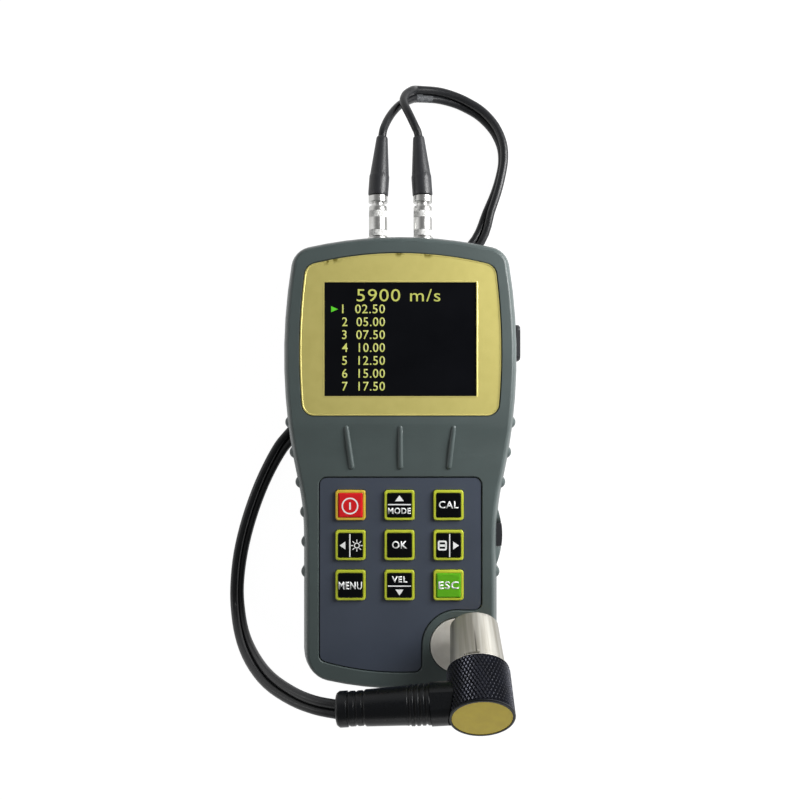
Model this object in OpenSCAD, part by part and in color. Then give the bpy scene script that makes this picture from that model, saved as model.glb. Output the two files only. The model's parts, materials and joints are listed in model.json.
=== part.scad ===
// Ultrasonic thickness gauge lying on its back, with its twin-element probe stood on the test disc.
// Millimetres. X runs to the right of the face, Y towards the sockets, Z up out of the face.
// The origin is the middle of the back, on the plane that the four pads rest on.

/* [Housing] */
// Length of the housing, sockets left out
body_l = 149.6; // [147:0.1:153]
// Width across the screen end
head_w = 77.7; // [75:0.1:80]
// Width across the grip
grip_w = 64.5; // [62:0.1:66]
// Height of the screen face above the rest plane
face_z = 33; // [33:0.5:36]
// Height of the pads that lift the back clear of the cable
pad_h = 3.4; // [3.2:0.1:4]
// Height of the parting line
split_z = 12; // [11:0.5:12.5]
// Wall of the two shells
wall = 2.2; // [1.8:0.1:2.4]
// Drop from the screen face to the keypad face
face_step = 0.9; // [0.4:0.1:1]

/* [Screen] */
// Width of the visible screen
screen_w = 49; // [46:0.5:50]
// Height of the visible screen
screen_h = 36.7; // [34:0.1:37]
// From the socket end to the middle of the screen
screen_in = 34.6; // [33.6:0.1:35.6]

/* [Keys] */
// Side of a key
key_s = 9.7; // [9:0.1:10]
// Distance between key columns
key_px = 15.8; // [14:0.1:16]
// Distance between key rows
key_py = 12.9; // [12.6:0.1:13.2]
// From the foot end to the middle row
key_in = 48.6; // [47.6:0.1:49.6]
// How far a key sinks
key_travel = 0.5; // [0.3:0.05:0.5]

/* [Connectors] */
// Distance between the two sockets
socket_pitch = 15.1; // [14.5:0.1:17]
// Height of the socket axes
socket_z = 19.5; // [19:0.1:20]
// Outside diameter of the plug sleeve
sleeve_d = 6.3; // [6:0.1:6.6]

/* [Probe] */
// Diameter of the steel nose at its tip
nose_d = 15.2; // [14.4:0.1:15.6]
// Diameter of the steel nose at the grip
nose_top_d = 16.7; // [15.6:0.1:17]
// Diameter of the knurled grip
grip_d = 19.4; // [19:0.1:20.4]
// Length of nose that shows
nose_l = 15.5; // [14:0.1:17]
// Length of the knurled grip
grip_l = 15.5; // [15:0.1:18]
// Lean of the probe away from upright
probe_lean = 38; // [34:0.5:42]
// Diameter of the test disc
disc_d = 17.4; // [16:0.1:18]

/* [Cable] */
// Diameter of one strand
strand_d = 2.8; // [2.4:0.1:2.8]

/* [Hidden] */
$fn = 48;

GREY = [0.28, 0.32, 0.31];
BLACK = [0.06, 0.06, 0.065];
STEEL = [0.74, 0.73, 0.69];
GOLD = [0.76, 0.68, 0.36];

// Outline of the housing, right half from the middle of the top to the middle of the bottom
top_y = body_l / 2;
crease_y = top_y - 61.9;
end_r = 137;
side_r = 185;
foot_r = 110;
head_corner = 8;
foot_corner = 10.5;
end_c = [0, top_y - end_r];
side_c = [head_w / 2 - side_r, top_y - 39.8];
foot_c = [0, foot_r - top_y];
head_f = meet(end_c, end_r - head_corner, side_c, side_r - head_corner);
foot_f = [
  grip_w / 2 - foot_corner,
  foot_c.y - sqrt(pow(foot_r - foot_corner, 2) - pow(grip_w / 2 - foot_corner, 2))
];
a_end = angle_of(head_f - end_c);
a_side = angle_of(head_f - side_c);
a_crease = asin((crease_y - side_c.y) / side_r);
a_neck = -11.5;
a_foot = angle_of(foot_f - foot_c);
neck = side_c + side_r * [cos(a_neck), sin(a_neck)];
neck_pull = neck + 8 * [sin(a_neck), -cos(a_neck)];
HALF = concat(
  arc(end_c, end_r, 90, a_end, 5),
  arc(head_f, head_corner, a_end, a_side, 6),
  arc(side_c, side_r, a_side, a_crease, 6),
  arc(side_c, side_r, a_crease, a_neck, 6),
  bezier(neck, neck_pull, [grip_w / 2, 60.8 - top_y], [grip_w / 2, 48.8 - top_y], 7),
  [[grip_w / 2, 48.8 - top_y], [grip_w / 2, 34.8 - top_y]],
  arc(foot_f, foot_corner, 0, a_foot, 7),
  arc(foot_c, foot_r, a_foot, -90, 4),
  [[0, -top_y]]
);
M = len(HALF) - 1;
RIM = concat(HALF, [for (i = [M - 1:-1:1]) [-HALF[i].x, HALF[i].y]]);
N = len(RIM);
OUT = [for (i = [0:N - 1]) let (t = RIM[(i + 1) % N] - RIM[(i + N - 1) % N]) [-t.y, t.x] / norm(t)];
EDGE = [for (p = HALF) [p.y, p.x]];

// Places along the housing
screen_y = top_y - screen_in;
key_y = key_in - top_y;

// Levels
low_z = face_z - face_step;
front_wall = 3.2;
inner_z = face_z - front_wall;
inner_low_z = low_z - front_wall;
film_z = low_z - 0.8;
film_t = 0.5;
board_z = inner_low_z - 5.2;
board_t = 1.6;
dome_h = 0.7;
key_top = low_z + 0.9;
key_x = -0.3;
bezel_t = 0.45;

// Screws through the pads
head_pad = [head_w / 2 - 8.8, top_y - 24.8];
foot_pad = [grip_w / 2 - 12.8, 12.6 - top_y];
PADS = [for (p = [head_pad, foot_pad], s = [1, -1]) [s * p.x, p.y]];

// Screws that hold the board
head_post = [grip_w / 2 - 12.5, crease_y - 1.9];
foot_post = [grip_w / 2 - 7.8, 26.3 - top_y];
POSTS = [for (p = [head_post, foot_post], s = [1, -1]) [s * p.x, p.y]];
board_w = grip_w - 10.5;
board_l = body_l - 25.6;
pad_r = 5.2;
head_seat = 6;

// Side ports
data_y = screen_y - 0.4;
data_z = split_z + 7;
charge_y = key_y + 2.3;
charge_z = split_z + 7;
boss_r = 27.4;
boss_out = 1.35;

// Grip bumps
bump_pitch = 9.9;
bump_y = crease_y + 0.4;
bump_r = 2.2;
bump_out = 0.65;
bump_h = face_z - split_z - 8;

// Keypad film
film_w = grip_w - 12.5;
film_top = key_y + key_py + 8.7;
film_foot = 7.6 - top_y;

// Plug stations along Y
wall_y = top_y - 0.7;
sleeve_y0 = top_y + 1.1;
sleeve_y1 = top_y + 11.3;
nut_y0 = top_y + 12.6;
nut_y1 = top_y + 14.8;
boot_l = 20.3;
boot_turn = 4;

// Probe: local Z runs from the nose face to the label
disc_c = [grip_w / 2 - 13.85, 16.1 - top_y];
disc_top = low_z + 0.2;
contact = disc_c + [4.9, 1.6];
probe_o = [contact.x, contact.y + nose_d / 2 * cos(probe_lean), disc_top + nose_d / 2 * sin(probe_lean)];
gland_at = nose_l + grip_l - 5.5;
gland_roll = 6;
boot_end = 42.3;

// Where the two cable ends meet the boots and the probe
function boot_tip(s) = [
  s * (socket_pitch / 2 - (boot_l - 0.3) * sin(boot_turn)),
  nut_y1 + 0.3 + (boot_l - 0.3) * cos(boot_turn),
  socket_z
];
function probe_point(p) = probe_o + [
  p.x,
  p.y * cos(probe_lean) - p.z * sin(probe_lean),
  p.y * sin(probe_lean) + p.z * cos(probe_lean)
];
cable_end = probe_point([-boot_end * cos(gland_roll), -boot_end * sin(gland_roll), gland_at]);

// Routes: x, y, z and the roll of the twin cable
LEFT = concat([boot_tip(-1) + [0.02, 0.3, 0], boot_tip(-1) + [0.25, 1.8, -0.2]], [for (p = [
  [-5.48, 113.4, 18.7], [-4.24, 116.6, 17.2], [-2.41, 120.1, 15.1], [-0.17, 123.3, 12.6], [2.6, 126.1, 9.2],
  [5.4, 128.36, 5.75], [7.3, 128.45, 5.25]
]) moved(p)]);
RIGHT = concat([boot_tip(1) + [-0.03, 0.5, 0], boot_tip(1) + [-0.4, 1.8, 0.12]], [for (p = [
  [5.12, 112.9, 19.8], [4.1, 115.1, 19.8], [2.85, 117.9, 19.2], [1.77, 120.6, 17.9], [1.1, 123.6, 15.9],
  [1.94, 126.7, 13.4], [4.1, 129.1, 10.9], [5.4, 130.82, 7.17], [7.3, 130.91, 6.67]
]) moved(p)]);
TWIN = concat([for (p = [
  [7.9, 129.7, 5.8, 30], [13.2, 129.9, 4.4, 36], [18.8, 128.9, 3.4, 45], [23.6, 127.1, 2.9, 52],
  [29.1, 123.8, 2.75, 58], [33.8, 118.7, 2.8, 66], [36.5, 112.9, 2.9, 76], [37.1, 107.4, 2.9, 80],
  [36.3, 101.9, 2.9, 78], [34.5, 95.3, 2.85, 70], [31.9, 88.4, 2.6, 55], [28.2, 78.4, 2, 22],
  [18, 66.5, 1.6, 0], [4, 53, 1.6, 0], [-12, 37, 1.6, 0], [-27, 21.5, 1.6, 0], [-39.6, 7.9, 1.75, 8],
  [-44.4, 1.6, 2.1, 28], [-50, -9.5, 2.5, 48], [-54.6, -22.2, 2.7, 60], [-57.6, -34.5, 2.8, 66],
  [-58.8, -46, 3.2, 66], [-57.9, -54.5, 5.9, 60], [-54.8, -61.4, 13, 52], [-49.1, -66, 24, 40],
  [-41.8, -68.6, 35.5, 24], [-33, -69.8, 45.5, 8], [-25.4, -70.1, 51.7, 0]
]) concat(moved(p), p[3])], [concat(cable_end, 0)]);

// A route point moved with the ends of the housing, the sockets and the probe
function share(v) = max(0, min(1, v));
function moved(p) =
  let (end = share(abs(p.y) / 74.8) * sign(p.y) * (top_y - 74.8))
  p.y > 0
    ? [p.x, p.y + end, p.z + share((p.z - 5) / 14.5) * (socket_z - 19.5)]
    : let (k = share((p.z - 5) / 45))
      [p.x, p.y + end * (1 - k), p.z] + k * (cable_end - [-18.77, -70.29, 54.35]);

// Helpers
function angle_of(v) = atan2(v.y, v.x);
function arc(c, r, a0, a1, n) = [
  for (i = [0:n - 1]) let (a = a0 + (a1 - a0) * i / n) c + r * [cos(a), sin(a)]
];
function meet(c1, r1, c2, r2) =
  let (d = norm(c2 - c1), u = (c2 - c1) / d, a = (r1 * r1 - r2 * r2 + d * d) / (2 * d))
  c1 + u * a + [u.y, -u.x] * sqrt(r1 * r1 - a * a);
function bezier(p0, p1, p2, p3, n) = [
  for (i = [0:n - 1]) let (t = i / n, s = 1 - t)
    p0 * s * s * s + p1 * 3 * s * s * t + p2 * 3 * s * t * t + p3 * t * t * t
];
function ease(t) = 1 - pow(1 - share(t), 2);
function drop(y) = face_step * ease((crease_y - y) / 11);
function edge_x(y) = lookup(y, EDGE);
function ring(inset, z, follow = 0) = [
  for (i = [0:N - 1]) let (p = RIM[i] - OUT[i] * inset) [p.x, p.y, z - follow * drop(p.y)]
];
function unit(v) = v / norm(v);
function spline(p, i, t) =
  let (a = p[max(i - 1, 0)], b = p[i], c = p[i + 1], d = p[min(i + 2, len(p) - 1)])
  0.5 * (2 * b + (c - a) * t + (2 * a - 5 * b + 4 * c - d) * t * t + (3 * b - a - 3 * c + d) * t * t * t);
function smooth_path(p, n) = concat(
  [for (i = [0:len(p) - 2], k = [0:n - 1]) spline(p, i, k / n)], [p[len(p) - 1]]
);
function xyz(p) = [p.x, p.y, p.z];

// A shell lofted through rings, closed across by strips that follow the face
module loft(rings) {
  k = len(rings);
  top = (k - 1) * N;
  polyhedron(
    points = [for (r = rings, p = r) p],
    faces = concat(
      [for (j = [0:k - 2], i = [0:N - 1])
        [j * N + i, j * N + (i + 1) % N, (j + 1) * N + (i + 1) % N, (j + 1) * N + i]],
      [[top, top + 1, top + N - 1], [top + M - 1, top + M, top + M + 1]],
      [for (i = [1:M - 2]) [top + i, top + i + 1, top + N - i - 1, top + N - i]],
      [[N - 1, 1, 0], [M + 1, M, M - 1]],
      [for (i = [1:M - 2]) [N - i, N - i - 1, i + 1, i]]
    ),
    convexity = 6
  );
}

// A tube of width w and height h swept along a smoothed route
module cable(route, w, h, n, sides = 8) {
  path = smooth_path(route, n);
  k = len(path);
  rings = [
    for (i = [0:k - 1])
      let (
        t = unit(xyz(path[min(i + 1, k - 1)]) - xyz(path[max(i - 1, 0)])),
        s0 = unit(cross([0, 0, 1], t)),
        u0 = cross(t, s0),
        r = len(path[i]) > 3 ? path[i][3] : 0,
        s = s0 * cos(r) + u0 * sin(r),
        u = u0 * cos(r) - s0 * sin(r)
      )
      [for (j = [0:sides - 1]) let (a = 360 * j / sides)
        xyz(path[i]) + s * w / 2 * cos(a) + u * h / 2 * sin(a)]
  ];
  polyhedron(
    points = [for (r = rings, p = r) p],
    faces = concat(
      [for (i = [0:k - 2], j = [0:sides - 1])
        [i * sides + j, (i + 1) * sides + j, (i + 1) * sides + (j + 1) % sides]],
      [for (i = [0:k - 2], j = [0:sides - 1])
        [i * sides + j, (i + 1) * sides + (j + 1) % sides, i * sides + (j + 1) % sides]],
      [[for (j = [0:sides - 1]) j]],
      [[for (j = [sides - 1:-1:0]) (k - 1) * sides + j]]
    ),
    convexity = 8
  );
}

module rounded_square(w, h, r) {
  for (x = [-1, 1], y = [-1, 1]) translate([x * (w / 2 - r), y * (h / 2 - r)]) circle(r = r);
  square([w - 2 * r, h], center = true);
  square([w, h - 2 * r], center = true);
}

module block(x, y, z0, z1, w, h, r) {
  translate([x, y, z0]) linear_extrude(z1 - z0) rounded_square(w, h, r);
}

module at_keys() {
  for (c = [-1:1], r = [-1:1]) translate([key_x + c * key_px, key_y + r * key_py, 0]) children();
}

module bezel_2d(grow = 0) {
  offset(delta = grow) offset(r = 4, $fn = 32) offset(delta = -4) intersection() {
    translate([0, top_y - 6.9 - 118]) circle(r = 118, $fn = 240);
    translate([head_w / 2 - 6.35 - 200, top_y - 38.8]) circle(r = 200, $fn = 360);
    translate([200 + 6.45 - head_w / 2, top_y - 38.8]) circle(r = 200, $fn = 360);
    translate([-head_w, crease_y + 2.7]) square([2 * head_w, body_l]);
  }
}

module film_2d(grow = 0) {
  offset(delta = grow) offset(r = 2.2, $fn = 24) offset(delta = -2.2) difference() {
    intersection() {
      translate([-film_w / 2, -top_y]) square([film_w, top_y + film_top]);
      translate([0, film_foot + 90]) circle(r = 90, $fn = 240);
    }
    translate(disc_c) circle(r = disc_d / 2 + 3, $fn = 64);
    translate([disc_c.x - disc_d / 2 - 3, -body_l]) square([60, body_l + disc_c.y]);
    translate([disc_c.x, -body_l]) square([60, body_l + disc_c.y + disc_d / 2 + 2.9]);
  }
}

// Axis along Y at a socket
module at_socket(s) {
  translate([s * socket_pitch / 2, 0, socket_z]) rotate([-90, 0, 0]) children();
}

module turned(y0, y1, r, bore = 0) {
  translate([0, 0, y0]) difference() {
    cylinder(r = r, h = y1 - y0);
    if (bore > 0) translate([0, 0, -1]) cylinder(r = bore, h = y1 - y0 + 2);
  }
}

module at_probe() {
  translate(probe_o) rotate([probe_lean, 0, 0]) children();
}

module at_gland() {
  at_probe() translate([0, 0, gland_at]) rotate([0, 0, gland_roll]) rotate([0, -90, 0]) children();
}

// Upright rounded bumps on the sides of the grip
module bump(s, y) {
  x = edge_x(y) + bump_out - bump_r;
  translate([s * x, y, split_z]) cylinder(r = bump_r, h = bump_h);
  translate([s * x, y, split_z + bump_h]) sphere(r = bump_r);
}

// A raised rib across the crease between the screen face and the keypad face
module face_rib(x0, x1) {
  length = norm([x1 - x0, 12.6]);
  translate([x0, crease_y - 1.2, face_z - 0.45]) {
    rotate([0, 0, atan2(-12.6, x1 - x0)]) rotate([0, 93, 0]) {
      cylinder(r1 = 0.8, r2 = 0.95, h = length);
      sphere(r = 0.8);
      translate([0, 0, length]) sphere(r = 0.95);
    }
  }
}

// The lens-shaped boss round the charge port
module charge_boss(z0, radius) {
  translate([grip_w / 2 + boss_out - boss_r, charge_y, z0])
    cylinder(r = radius, h = split_z + bump_h + 1 - z0, $fn = 120);
}

module front_housing() {
  color(GREY) difference() {
    union() {
      difference() {
        union() {
          loft([
            ring(0.2, split_z), ring(0, split_z + 8), ring(0.15, face_z - 9), ring(0.7, face_z - 5, 1),
            ring(1.4, face_z - 2.4, 1), ring(1.8, face_z - 1.2, 1), ring(2.1, face_z - 0.6, 1),
            ring(2.5, face_z - 0.2, 1), ring(3.1, face_z, 1)
          ]);
          for (i = [0:5]) bump(-1, bump_y - i * bump_pitch);
          for (i = [0, 1, 2, 5]) bump(1, bump_y - i * bump_pitch);
          charge_boss(split_z, boss_r);
          face_rib(-17.4, -15.7);
          face_rib(0, 0);
          face_rib(17.2, 15.7);
        }
        loft([
          ring(wall, split_z - 1), ring(wall + 0.6, inner_z - 4, 1), ring(wall + 4, inner_z, 1)
        ]);
      }
      for (p = PADS) translate([p.x, p.y, split_z])
        cylinder(r = 3.7, h = inner_z - drop(p.y) - split_z + 0.6);
      for (p = POSTS) translate([p.x, p.y, board_z + board_t]) cylinder(r = 2.4, h = inner_low_z - board_z);
      translate([disc_c.x, disc_c.y, inner_low_z - 1.2]) cylinder(r = disc_d / 2 + 1.6, h = 2);
    }
    for (p = PADS) translate([p.x, p.y, split_z - 1]) cylinder(r = 1.3, h = 11);
    for (p = POSTS) translate([p.x, p.y, board_z]) cylinder(r = 0.8, h = 5);
    translate([0, 0, face_z - 0.8]) linear_extrude(2) bezel_2d(0.35);
    block(0, screen_y, face_z - 2.1, face_z, screen_w + 2.3, screen_h + 2.3, 1.2);
    block(0, screen_y, inner_z - 1, face_z, screen_w - 1.5, screen_h - 1.5, 1);
    translate([0, 0, film_z]) linear_extrude(3) film_2d(0.4);
    translate([0, 0, film_z - 0.6]) linear_extrude(3) difference() {
      film_2d(0.4);
      film_2d(-0.3);
    }
    at_keys() block(0, 0, inner_low_z - 2, face_z, key_s + 0.5, key_s + 0.5, 1.2);
    translate([disc_c.x, disc_c.y, low_z - 3]) cylinder(r = disc_d / 2 + 0.3, h = 5);
    for (s = [-1, 1]) at_socket(s) {
      translate([0, 0, top_y - 8]) cylinder(r = 3.1, h = 12);
      translate([0, 0, wall_y]) cylinder(r = 4.7, h = 6);
    }
    translate([head_w / 2 - 6, data_y - 5, data_z - 3]) cube([12, 10, 6]);
    translate([grip_w / 2 - 6, charge_y, charge_z]) rotate([0, 90, 0]) cylinder(r = 3.2, h = 14);
    translate([grip_w / 2 - 0.8, charge_y - 4, charge_z - 5.2]) cube([4, 8, 20]);
  }
}

module rear_housing() {
  color(GREY) difference() {
    union() {
      difference() {
        loft([
          ring(6, pad_h), ring(3.4, pad_h + 0.6), ring(1.6, pad_h + 2),
          ring(0.7, pad_h + 4.2), ring(0.35, split_z)
        ]);
        loft([ring(7, pad_h + wall), ring(4.4, pad_h + wall + 1), ring(3, split_z + 1)]);
      }
      for (p = PADS) translate([p.x, p.y, 0]) {
        cylinder(r = pad_r - 0.6, h = 0.6);
        translate([0, 0, 0.6]) cylinder(r = pad_r, h = pad_h + 1.6);
        cylinder(r = 4.4, h = split_z);
      }
    }
    for (p = PADS) translate([p.x, p.y, -1]) {
      cylinder(r = 3, h = head_seat + 1);
      cylinder(r = 1.7, h = 30);
    }
  }
}

module screen_bezel() {
  color(GOLD) translate([0, 0, face_z - 0.8]) linear_extrude(bezel_t) difference() {
    bezel_2d();
    translate([0, screen_y]) rounded_square(screen_w, screen_h, 0.3);
  }
}

module screen_window() {
  color([0.02, 0.02, 0.03]) block(0, screen_y, face_z - 2.1, face_z - 0.8, screen_w + 2, screen_h + 2, 1.1);
}

module lcd_module() {
  color([0.5, 0.52, 0.54]) {
    block(0, screen_y, board_z + board_t, inner_z - 0.1, screen_w + 2, screen_h + 6, 1);
    block(0, screen_y, inner_z - 0.1, inner_z + 1, screen_w - 3, screen_h - 3, 0.6);
  }
}

module keypad_film() {
  color([0.22, 0.24, 0.3]) translate([0, 0, film_z]) linear_extrude(film_t) difference() {
    film_2d();
    at_keys() rounded_square(key_s + 0.3, key_s + 0.3, 1.05);
  }
}

module key(c, r, tint) {
  color(tint) translate([key_x + c * key_px, key_y + r * key_py, 0]) {
    block(0, 0, board_z + board_t + dome_h + key_travel + 0.1, inner_low_z - 0.2, key_s - 2, key_s - 2, 1);
    block(0, 0, inner_low_z - 1.4, inner_low_z - 0.2, key_s + 1.6, key_s + 1.6, 1.2);
    block(0, 0, inner_low_z - 0.3, key_top - 0.35, key_s, key_s, 0.9);
    block(0, 0, key_top - 0.4, key_top - 0.15, key_s - 0.5, key_s - 0.5, 0.7);
    block(0, 0, key_top - 0.2, key_top, key_s - 1.8, key_s - 1.8, 0.4);
  }
}

LIME = [0.67, 0.74, 0.2];
module key_power() { key(-1, 1, [0.8, 0.14, 0.12]); }
module key_up() { key(0, 1, LIME); }
module key_cal() { key(1, 1, LIME); }
module key_left() { key(-1, 0, LIME); }
module key_ok() { key(0, 0, LIME); }
module key_right() { key(1, 0, LIME); }
module key_menu() { key(-1, -1, LIME); }
module key_down() { key(0, -1, LIME); }
module key_back() { key(1, -1, [0.31, 0.66, 0.1]); }

module key_domes() {
  color(STEEL) at_keys() translate([0, 0, board_z + board_t]) {
    cylinder(r = 4, h = 0.3);
    cylinder(r1 = 3.4, r2 = 2, h = dome_h);
  }
}

module main_board() {
  color([0.1, 0.35, 0.18]) difference() {
    block(0, 0, board_z, board_z + board_t, board_w, board_l, 2);
    for (p = PADS) translate([p.x, p.y, 0]) cylinder(r = 4.3, h = 60);
    for (p = POSTS) translate([p.x, p.y, 0]) cylinder(r = 1.1, h = 60);
  }
}

module board_screws() {
  color(STEEL) for (p = POSTS) translate([p.x, p.y, 0]) {
    translate([0, 0, board_z - 1.2]) cylinder(r = 2, h = 1.2);
    translate([0, 0, board_z - 0.5]) cylinder(r = 0.75, h = 5);
  }
}

module battery_pack() {
  color([0.15, 0.3, 0.55]) block(0, key_y + 9.2, pad_h + wall, board_z - 8, board_w - 14, board_l / 2, 3);
}

module buzzer() {
  color(BLACK) difference() {
    translate([0, screen_y + 4.8, board_z - 4.5]) cylinder(r = 6, h = 4.5);
    translate([0, screen_y + 4.8, board_z - 5]) cylinder(r = 1, h = 1.5);
  }
}

module case_screws() {
  color(STEEL) for (p = PADS) translate([p.x, p.y, 0]) difference() {
    union() {
      translate([0, 0, head_seat - 2]) cylinder(r = 2.7, h = 2);
      translate([0, 0, head_seat - 0.5]) cylinder(r = 1.25, h = split_z - head_seat + 8);
    }
    translate([-0.35, -1.6, head_seat - 2.5]) cube([0.7, 3.2, 1.4]);
    translate([-1.6, -0.35, head_seat - 2.5]) cube([3.2, 0.7, 1.4]);
  }
}

module test_disc() {
  color(STEEL) translate([disc_c.x, disc_c.y, low_z - 3]) {
    cylinder(r = disc_d / 2, h = disc_top - low_z + 2.8);
    translate([0, 0, disc_top - low_z + 2.8]) cylinder(r1 = disc_d / 2, r2 = disc_d / 2 - 0.2, h = 0.2);
  }
}

module data_port() {
  color(STEEL) difference() {
    translate([head_w / 2 - 9, data_y - 4.2, data_z - 2]) cube([7, 8.4, 4]);
    translate([head_w / 2 - 7, data_y - 3.6, data_z - 1.4]) cube([9, 7.2, 2.8]);
  }
}

// A rubber cover with a tongue in the port opening
module data_port_cover() {
  x = edge_x(data_y) + 0.1;
  color(BLACK) {
    translate([x, data_y, data_z]) rotate([0, 90, 0]) linear_extrude(1) rounded_square(7.6, 12.2, 2);
    translate([x + 0.9, data_y, data_z]) rotate([0, 90, 0]) linear_extrude(0.5)
      rounded_square(6.8, 11.4, 1.7);
    translate([x - 1.8, data_y - 4.6, data_z - 2.6]) cube([2, 9.2, 5.2]);
  }
}

module charge_port() {
  color(STEEL) translate([grip_w / 2 - 9, charge_y, charge_z]) rotate([0, 90, 0]) difference() {
    cylinder(r = 3, h = 7);
    translate([0, 0, 1.5]) cylinder(r = 2.5, h = 8);
  }
}

// A rubber block that fills the notch in the boss, with a stem in the port
module charge_port_plug() {
  color(BLACK) {
    translate([grip_w / 2 - 1.6, charge_y, charge_z]) rotate([0, 90, 0]) cylinder(r = 2.8, h = 1.4);
    intersection() {
      charge_boss(charge_z - 5, boss_r + 0.15);
      translate([grip_w / 2 - 0.7, charge_y - 3.8, 0]) cube([4, 7.6, 60]);
    }
  }
}

module socket(s) {
  color(STEEL) at_socket(s) difference() {
    union() {
      translate([0, 0, top_y - 9]) cylinder(r = 3, h = 9);
      translate([0, 0, wall_y]) cylinder(r = 3.6, h = 1.4);
      translate([0, 0, wall_y - wall - 3.6]) cylinder(r = 4.4, h = 2.6, $fn = 6);
      translate([0, 0, top_y - 12]) cylinder(r = 1, h = 4);
    }
    translate([0, 0, top_y - 7]) cylinder(r = 2.05, h = 20);
  }
}
module socket_left() { socket(-1); }
module socket_right() { socket(1); }

module plug_core(s) {
  color(STEEL) at_socket(s) difference() {
    turned(top_y - 6.5, nut_y1 - 0.5, 2);
    translate([0, 0, top_y - 7]) cylinder(r = 1.4, h = 4);
  }
}
module plug_core_left() { plug_core(-1); }
module plug_core_right() { plug_core(1); }

// The push-pull sleeve, with two grooved bands for the fingers
module plug_sleeve(s) {
  r = sleeve_d / 2;
  color(STEEL) at_socket(s) difference() {
    turned(sleeve_y0, sleeve_y1, r, 2.3);
    for (y = [sleeve_y0 + 0.5, sleeve_y0 + 8.2], i = [0:3]) translate([0, 0, y + i * 0.62])
      difference() {
        cylinder(r = r + 1, h = 0.3);
        translate([0, 0, -1]) cylinder(r = r - 0.22, h = 3);
      }
  }
}
module plug_sleeve_left() { plug_sleeve(-1); }
module plug_sleeve_right() { plug_sleeve(1); }

module plug_nut(s) {
  color(STEEL) at_socket(s) difference() {
    union() {
      turned(nut_y0 + 0.3, nut_y1 - 0.3, 3.25);
      turned(nut_y0, nut_y1, 3.1);
    }
    translate([0, 0, nut_y0 - 1]) cylinder(r = 2.02, h = 9);
    for (a = [0, 180]) rotate([0, 0, a]) translate([3, -4, nut_y0 + 1]) cube([2, 8, 1.8]);
  }
}
module plug_nut_left() { plug_nut(-1); }
module plug_nut_right() { plug_nut(1); }

// The tapered boot, leaning in towards the other one
module plug_boot(s) {
  color(BLACK) at_socket(s) translate([0, 0, nut_y1 + 0.3]) rotate([0, -s * boot_turn, 0]) rotate_extrude()
    polygon([
      [0, 0], [3.3, 0], [3.42, 0.4], [3.4, 6.4], [3.2, 7.2], [1.95, boot_l - 0.9], [1.82, boot_l - 0.5],
      [1.6, boot_l - 0.3], [0, boot_l - 0.3]
    ]);
}
module plug_boot_left() { plug_boot(-1); }
module plug_boot_right() { plug_boot(1); }

module cable_left() { color(BLACK) cable(LEFT, strand_d, strand_d, 2); }
module cable_right() { color(BLACK) cable(RIGHT, strand_d, strand_d, 2); }
module twin_cable() { color(BLACK) cable(TWIN, 2 * strand_d, strand_d, 2, 10); }

module probe_nose() {
  color(STEEL) at_probe() rotate_extrude() polygon([
    [nose_d / 2 - 1.1, 0], [nose_d / 2 - 0.3, 0], [nose_d / 2, 0.3], [nose_top_d / 2, nose_l],
    [nose_d / 2 - 0.5, nose_l], [nose_d / 2 - 0.5, nose_l + 2.5], [nose_d / 2 - 1.1, nose_l + 2.5]
  ]);
}

module probe_grip() {
  r = grip_d / 2;
  end = nose_l + grip_l;
  color(BLACK) at_probe() difference() {
    rotate_extrude() polygon([
      [nose_d / 2 - 0.48, nose_l + 0.02], [r - 0.3, nose_l + 0.02], [r, nose_l + 0.4],
      [r, end - 0.4], [r - 0.3, end], [r - 0.9, end],
      [r - 0.9, end - 0.4], [0, end - 0.4], [0, end - 1.8], [r - 2.4, end - 1.8],
      [r - 2.4, nose_l + 2.8], [nose_d / 2 - 0.48, nose_l + 2.8]
    ]);
    translate([0, 0, gland_at]) rotate([0, 0, gland_roll]) rotate([0, -90, 0]) cylinder(r = 3.05, h = 30);
  }
}

module probe_label() {
  color(GOLD) at_probe() translate([0, 0, nose_l + grip_l - 0.4]) cylinder(r = grip_d / 2 - 0.95, h = 0.3);
}

module probe_delay(s) {
  color([0.75, 0.66, 0.4]) at_probe() intersection() {
    cylinder(r = nose_d / 2 - 1.15, h = 13);
    translate([s * 10.25, 0, 6]) cube([20, 30, 40], center = true);
  }
}
module probe_delay_left() { probe_delay(-1); }
module probe_delay_right() { probe_delay(1); }

module probe_barrier() {
  color([0.55, 0.38, 0.22]) at_probe() intersection() {
    cylinder(r = nose_d / 2 - 1.15, h = 14);
    translate([0, 0, 6]) cube([0.48, 30, 40], center = true);
  }
}

// The collar against the grip, with two flats
module probe_gland() {
  color(BLACK) at_gland() {
    cylinder_from(5.5, 10, 3);
    difference() {
      intersection() {
        cylinder_from(7, 14.5, 6.1);
        rotate([0, 0, 67]) translate([-5.7, -20, 0]) cube([11.4, 40, 40]);
      }
      rotate([0, 90, 0]) cylinder(r = grip_d / 2 + 0.05, h = 60, center = true, $fn = 96);
    }
  }
}

module cylinder_from(z0, z1, r) {
  translate([0, 0, z0]) cylinder(r = r, h = z1 - z0);
}

// Moulded strain relief: four ribs, a barrel, two ring grooves and an end bead
module probe_boot() {
  color(BLACK) at_gland() rotate_extrude() polygon(concat(
    [[0, 14.52]],
    [for (i = [0:3], p = [[5.75, 0], [5.75, 1.05], [5, 1.05], [5, 1.6]]) [p.x, 14.52 + i * 1.6 + p.y]],
    [[5.6, 21], [5.45, 22], [5.1, 33.4], [4.9, 33.8]],
    [for (i = [0, 1], p = [[4.5, 0], [4.5, 0.5], [4.9, 0.5], [4.9, 2.1]]) [p.x, 33.8 + i * 2.3 + p.y]],
    [[4.5, 38.4], [4.5, 38.8], [5.05, 38.8], [5.05, 41.2], [4.5, 42], [3.4, boot_end], [0, boot_end]]
  ));
}

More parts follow.
